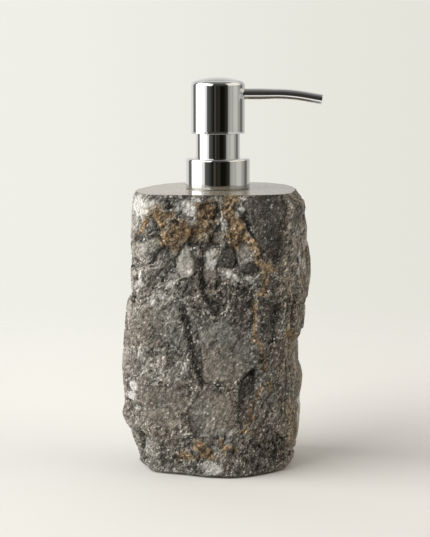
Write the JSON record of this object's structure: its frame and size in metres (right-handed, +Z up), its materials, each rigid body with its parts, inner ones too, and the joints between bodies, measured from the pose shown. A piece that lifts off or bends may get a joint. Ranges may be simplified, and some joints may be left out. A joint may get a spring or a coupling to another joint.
{
  "type": "soap pump dispenser",
  "caption": "Free-standing soap dispenser: a rough split-stone bottle with a honed flat top, a threaded collar and a spring-return press pump with a swivelling head and a slim bent spout.",
  "frame": {"origin": "on the pump's axis, at the surface that the bottle stands on", "axes": "+Z up along the pump's axis, +X the way the spout points, -Y the front face seen in a product view"},
  "size_m": [0.0965, 0.0833, 0.1875],
  "materials": {
    "split_stone": "rough split faces with rust stains, honed flat top",
    "sawn_stone": "sawn matt",
    "chrome": "mirror polished",
    "stainless": "machined satin",
    "white_plastic": "moulded satin",
    "natural_plastic": "moulded, unpigmented",
    "tube_plastic": "extruded, translucent",
    "black_rubber": "matt",
    "silicone": "satin translucent",
    "foam": "closed-cell foam"
  },
  "bodies": {
    "vessel": {"stone_body": "split_stone", "neck_insert": "stainless", "base_plug": "sawn_stone", "plug_seal": "silicone", "base_pad": "foam"},
    "pump_unit": {"pump_housing": "white_plastic", "neck_gasket": "black_rubber", "retaining_cap": "white_plastic", "neck_sleeve": "chrome", "stem_wiper": "black_rubber", "ball_cage": "natural_plastic", "return_spring": "stainless", "dip_tube": "tube_plastic"},
    "collar": {"collar_shell": "chrome", "collar_liner": "white_plastic"},
    "check_ball": {"inlet_ball": "stainless"},
    "piston": {"piston_seal": "natural_plastic"},
    "head": {"head_shell": "chrome", "head_core": "white_plastic", "spout_tube": "chrome", "spout_seal": "black_rubber", "pump_stem": "white_plastic", "piston_rod": "natural_plastic"}
  },
  "joints": [
    {"name": "pump_lift", "type": "slide", "parent": "vessel", "child": "pump_unit", "axis": [0, 0, 1], "range_m": [0, 0.139]},
    {"name": "collar_turn", "type": "hinge", "parent": "pump_unit", "child": "collar", "pos_m": [0, 0, 0.141], "axis": [0, 0, 1], "range_deg": [0, 450]},
    {"name": "pump_press", "type": "slide", "parent": "pump_unit", "child": "piston", "axis": [0, 0, -1], "range_m": [0, 0.011], "stiffness_N_per_m": 500, "springref_m": -0.01, "deforming": ["return_spring"]},
    {"name": "head_turn", "type": "hinge", "parent": "piston", "child": "head", "pos_m": [0, 0, 0.174], "axis": [0, 0, 1], "continuous": true},
    {"name": "ball_lift", "type": "slide", "parent": "pump_unit", "child": "check_ball", "axis": [0, 0, 1], "range_m": [0, 0.0018]}
  ]
}
